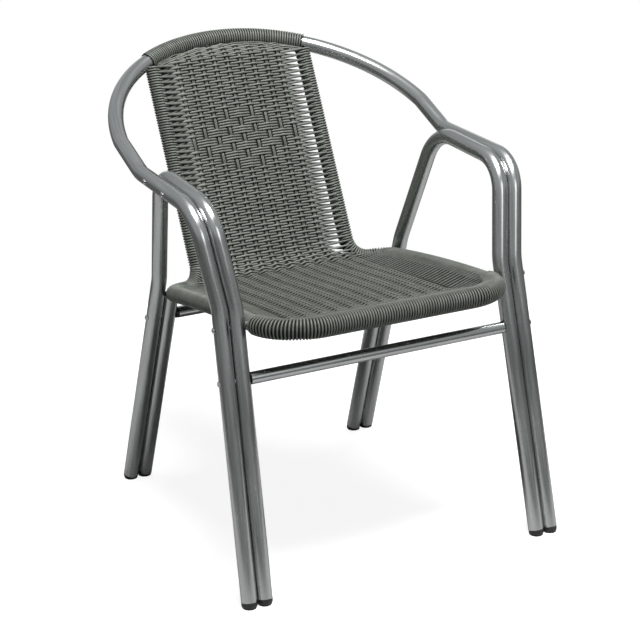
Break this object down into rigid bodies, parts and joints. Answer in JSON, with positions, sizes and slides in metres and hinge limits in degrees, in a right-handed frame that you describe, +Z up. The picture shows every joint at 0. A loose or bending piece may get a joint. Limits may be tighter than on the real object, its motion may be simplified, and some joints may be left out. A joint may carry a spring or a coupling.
{
  "type": "bistro chair",
  "caption": "Stacking bistro armchair with a bent aluminium tube frame and a woven strand seat and back.",
  "frame": {"origin": "on the floor, under the middle of the chair's overall box", "axes": "+Z up, the sitter faces -Y, +X is the right-hand side of someone who looks along +Y at the chair's front"},
  "size_m": [0.5792, 0.6602, 0.7432],
  "materials": {
    "frame_aluminium": "polished",
    "woven_strand": "satin grey-green strand",
    "black_plastic": "satin",
    "fastener_steel": "polished"
  },
  "bodies": {
    "root": {"outer_frame_tube": "frame_aluminium", "left_side_frame_tube": "frame_aluminium", "left_rear_leg_tube": "frame_aluminium", "right_side_frame_tube": "frame_aluminium", "right_rear_leg_tube": "frame_aluminium", "seat_and_back_rim_tube": "frame_aluminium", "front_stretcher": "frame_aluminium", "rear_stretcher": "frame_aluminium", "left_seat_spacer": "frame_aluminium", "right_seat_spacer": "frame_aluminium", "woven_back": "woven_strand", "woven_seat": "woven_strand", "left_upright_wrap": "woven_strand", "right_upright_wrap": "woven_strand", "left_seat_side_wrap": "woven_strand", "right_seat_side_wrap": "woven_strand", "hoop_wrap": "woven_strand", "front_roll_wrap": "woven_strand", "left_rear_spacer": "black_plastic", "left_front_stretcher_insert": "black_plastic", "left_rear_stretcher_insert": "black_plastic", "left_front_outer_glide": "black_plastic", "left_front_inner_glide": "black_plastic", "left_rear_outer_glide": "black_plastic", "left_rear_inner_glide": "black_plastic", "left_seat_screw": "fastener_steel", "left_front_stretcher_screw": "fastener_steel", "left_rear_stretcher_screw": "fastener_steel", "left_arm_rivet_1": "fastener_steel", "left_arm_rivet_2": "fastener_steel", "right_rear_spacer": "black_plastic", "right_front_stretcher_insert": "black_plastic", "right_rear_stretcher_insert": "black_plastic", "right_front_outer_glide": "black_plastic", "right_front_inner_glide": "black_plastic", "right_rear_outer_glide": "black_plastic", "right_rear_inner_glide": "black_plastic", "right_seat_screw": "fastener_steel", "right_front_stretcher_screw": "fastener_steel", "right_rear_stretcher_screw": "fastener_steel", "right_arm_rivet_1": "fastener_steel", "right_arm_rivet_2": "fastener_steel"}
  },
  "joints": []
}
